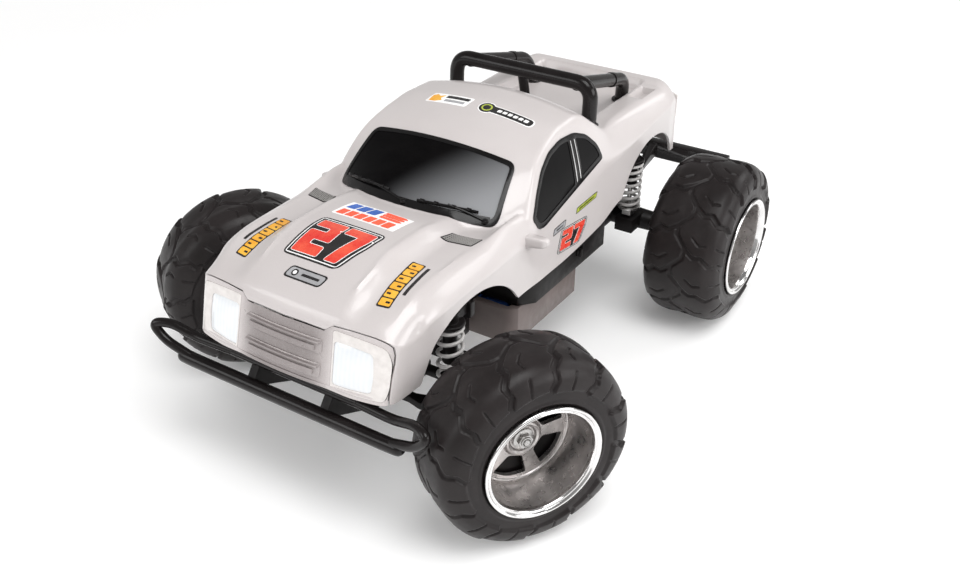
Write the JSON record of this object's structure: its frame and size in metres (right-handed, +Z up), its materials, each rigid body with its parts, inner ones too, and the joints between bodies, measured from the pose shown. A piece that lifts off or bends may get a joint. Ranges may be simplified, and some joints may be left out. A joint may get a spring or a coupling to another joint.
{
  "type": "remote control car",
  "caption": "Radio-controlled off-road pickup truck with big lugged tyres, tube bumpers, roll bar, steered front wheels, sprung suspension and geared rear axle.",
  "frame": {"origin": "on the ground under the truck, midway between the front and rear axles and on the centre line", "axes": "+Z up; the truck faces -Y; +X is towards its left side, lengths run along Y"},
  "size_m": [0.341, 0.4192, 0.1916],
  "materials": {
    "body_paint": "gloss",
    "nose_silver": "satin",
    "lamp_lens": "polished",
    "window_black": "polished",
    "frame_black": "satin",
    "bar_black": "satin",
    "belly_grey": "satin",
    "tyre_rubber": "matte",
    "rim_chrome": "polished",
    "plain_steel": "satin",
    "spring_steel": "gloss",
    "pinion_brass": "satin",
    "nylon_gear": "satin",
    "board_green": "satin",
    "pack_blue": "gloss",
    "decal_print": "gloss"
  },
  "bodies": {
    "chassis": {"chassis_frame": "frame_black", "battery_box": "belly_grey", "battery_pack": "pack_blue", "circuit_board": "board_green", "steering_servo": "frame_black", "front_bulkhead": "frame_black", "rear_shock_tower": "frame_black", "front_bumper": "bar_black", "rear_bumper": "bar_black", "body_shell": "body_paint", "front_fascia": "nose_silver", "windscreen": "window_black", "side_window_left": "window_black", "side_window_right": "window_black", "headlight_left": "lamp_lens", "headlight_right": "lamp_lens", "roll_bar": "bar_black", "tail_lamp_left": "lamp_lens", "tail_lamp_right": "lamp_lens", "front_left_shock_body": "frame_black", "front_right_shock_body": "frame_black", "rear_left_shock_body": "frame_black", "rear_right_shock_body": "frame_black"},
    "battery_door": {"battery_door": "belly_grey"},
    "power_switch": {"power_switch": "belly_grey"},
    "servo_horn": {"servo_horn": "nylon_gear"},
    "steering_bar": {"steering_bar": "frame_black"},
    "left_lower_arm": {"left_lower_arm": "frame_black"},
    "left_upper_arm": {"left_upper_arm": "frame_black"},
    "left_hub_carrier": {"left_hub_carrier": "frame_black"},
    "left_knuckle": {"left_knuckle": "frame_black", "front_left_hub_nut": "plain_steel"},
    "front_left_wheel": {"front_left_tyre": "tyre_rubber", "front_left_rim": "rim_chrome"},
    "front_left_shock_rod": {"front_left_shock_rod": "plain_steel", "front_left_spring": "spring_steel"},
    "right_lower_arm": {"right_lower_arm": "frame_black"},
    "right_upper_arm": {"right_upper_arm": "frame_black"},
    "right_hub_carrier": {"right_hub_carrier": "frame_black"},
    "right_knuckle": {"right_knuckle": "frame_black", "front_right_hub_nut": "plain_steel"},
    "front_right_wheel": {"front_right_tyre": "tyre_rubber", "front_right_rim": "rim_chrome"},
    "front_right_shock_rod": {"front_right_shock_rod": "plain_steel", "front_right_spring": "spring_steel"},
    "rear_swing": {"rear_axle_housing": "frame_black", "drive_motor": "plain_steel"},
    "rear_drive": {"axle_shaft": "plain_steel", "drive_gear": "nylon_gear", "rear_left_tyre": "tyre_rubber", "rear_left_rim": "rim_chrome", "rear_left_hub_nut": "plain_steel", "rear_right_tyre": "tyre_rubber", "rear_right_rim": "rim_chrome", "rear_right_hub_nut": "plain_steel"},
    "motor_pinion": {"motor_pinion": "pinion_brass"},
    "rear_left_shock_rod": {"rear_left_shock_rod": "plain_steel", "rear_left_spring": "spring_steel"},
    "rear_right_shock_rod": {"rear_right_shock_rod": "plain_steel", "rear_right_spring": "spring_steel"}
  },
  "joints": [
    {"name": "battery_door_hinge", "type": "hinge", "parent": "chassis", "child": "battery_door", "pos_m": [0, -0.0485, 0.042], "axis": [-1, 0, 0], "range_deg": [0, 95]},
    {"name": "power_switch_slide", "type": "slide", "parent": "chassis", "child": "power_switch", "axis": [0, 1, 0], "range_m": [0, 0.0045]},
    {"name": "servo_turn", "type": "hinge", "parent": "chassis", "child": "servo_horn", "pos_m": [0, -0.096, 0.069], "axis": [0, 0, -1], "range_deg": [0, 61]},
    {"name": "steering_bar_slide", "type": "slide", "parent": "chassis", "child": "steering_bar", "axis": [-1, 0, 0], "range_m": [0, 0.01625]},
    {"name": "left_lower_arm_hinge", "type": "hinge", "parent": "chassis", "child": "left_lower_arm", "pos_m": [0.028, -0.12685, 0.048], "axis": [0, -1, 0], "range_deg": [-7, 5], "stiffness_Nm_per_rad": 2.6, "springref_deg": -3.44},
    {"name": "left_upper_arm_hinge", "type": "hinge", "parent": "chassis", "child": "left_upper_arm", "pos_m": [0.028, -0.12685, 0.076], "axis": [0, -1, 0], "range_deg": [-7, 5]},
    {"name": "left_hub_carrier_hinge", "type": "hinge", "parent": "left_lower_arm", "child": "left_hub_carrier", "pos_m": [0.074, -0.12685, 0.048], "axis": [0, -1, 0], "range_deg": [-5, 7]},
    {"name": "left_kingpin", "type": "hinge", "parent": "left_hub_carrier", "child": "left_knuckle", "pos_m": [0.084, -0.12685, 0.06], "axis": [0, 0, 1], "range_deg": [0, 61]},
    {"name": "front_left_wheel_spin", "type": "hinge", "parent": "left_knuckle", "child": "front_left_wheel", "pos_m": [0.12019, -0.14817, 0.06], "axis": [0.8616, -0.5075, 0], "continuous": true},
    {"name": "front_left_shock_slide", "type": "slide", "parent": "chassis", "child": "front_left_shock_rod", "axis": [0, 0, 1], "range_m": [-0.0052, 0.0037], "deforming": ["front_left_spring"]},
    {"name": "right_lower_arm_hinge", "type": "hinge", "parent": "chassis", "child": "right_lower_arm", "pos_m": [-0.028, -0.12685, 0.048], "axis": [0, 1, 0], "range_deg": [-7, 5], "stiffness_Nm_per_rad": 2.6, "springref_deg": -3.44},
    {"name": "right_upper_arm_hinge", "type": "hinge", "parent": "chassis", "child": "right_upper_arm", "pos_m": [-0.028, -0.12685, 0.076], "axis": [0, 1, 0], "range_deg": [-7, 5]},
    {"name": "right_hub_carrier_hinge", "type": "hinge", "parent": "right_lower_arm", "child": "right_hub_carrier", "pos_m": [-0.074, -0.12685, 0.048], "axis": [0, 1, 0], "range_deg": [-5, 7]},
    {"name": "right_kingpin", "type": "hinge", "parent": "right_hub_carrier", "child": "right_knuckle", "pos_m": [-0.084, -0.12685, 0.06], "axis": [0, 0, 1], "range_deg": [0, 61]},
    {"name": "front_right_wheel_spin", "type": "hinge", "parent": "right_knuckle", "child": "front_right_wheel", "pos_m": [-0.12019, -0.10553, 0.06], "axis": [0.8616, -0.5075, 0], "continuous": true},
    {"name": "front_right_shock_slide", "type": "slide", "parent": "chassis", "child": "front_right_shock_rod", "axis": [0, 0, 1], "range_m": [-0.0052, 0.0037], "deforming": ["front_right_spring"]},
    {"name": "rear_swing_hinge", "type": "hinge", "parent": "chassis", "child": "rear_swing", "pos_m": [0, 0.045, 0.062], "axis": [1, 0, 0], "range_deg": [-5, 5], "stiffness_Nm_per_rad": 13.5, "springref_deg": -2.06},
    {"name": "rear_axle_spin", "type": "hinge", "parent": "rear_swing", "child": "rear_drive", "pos_m": [0, 0.12685, 0.06], "axis": [1, 0, 0], "continuous": true},
    {"name": "motor_pinion_spin", "type": "hinge", "parent": "rear_swing", "child": "motor_pinion", "pos_m": [0, 0.10235, 0.06], "axis": [1, 0, 0], "continuous": true},
    {"name": "rear_left_shock_slide", "type": "slide", "parent": "chassis", "child": "rear_left_shock_rod", "axis": [0, 0, 1], "range_m": [-0.006, 0.006], "deforming": ["rear_left_spring"]},
    {"name": "rear_right_shock_slide", "type": "slide", "parent": "chassis", "child": "rear_right_shock_rod", "axis": [0, 0, 1], "range_m": [-0.006, 0.006], "deforming": ["rear_right_spring"]}
  ],
  "couplings": [
    {"joint": "steering_bar_slide", "follows": "servo_turn", "m_per_rad": 0.015254},
    {"joint": "left_upper_arm_hinge", "follows": "left_lower_arm_hinge", "ratio": 1},
    {"joint": "left_hub_carrier_hinge", "follows": "left_lower_arm_hinge", "ratio": -1},
    {"joint": "front_left_shock_slide", "follows": "left_lower_arm_hinge", "m_per_rad": 0.042},
    {"joint": "left_kingpin", "follows": "servo_turn", "ratio": 1},
    {"joint": "right_upper_arm_hinge", "follows": "right_lower_arm_hinge", "ratio": 1},
    {"joint": "right_hub_carrier_hinge", "follows": "right_lower_arm_hinge", "ratio": -1},
    {"joint": "front_right_shock_slide", "follows": "right_lower_arm_hinge", "m_per_rad": 0.042},
    {"joint": "right_kingpin", "follows": "servo_turn", "ratio": 1},
    {"joint": "motor_pinion_spin", "follows": "rear_axle_spin", "ratio": -3},
    {"joint": "rear_left_shock_slide", "follows": "rear_swing_hinge", "m_per_rad": 0.067},
    {"joint": "rear_right_shock_slide", "follows": "rear_swing_hinge", "m_per_rad": 0.067}
  ]
}
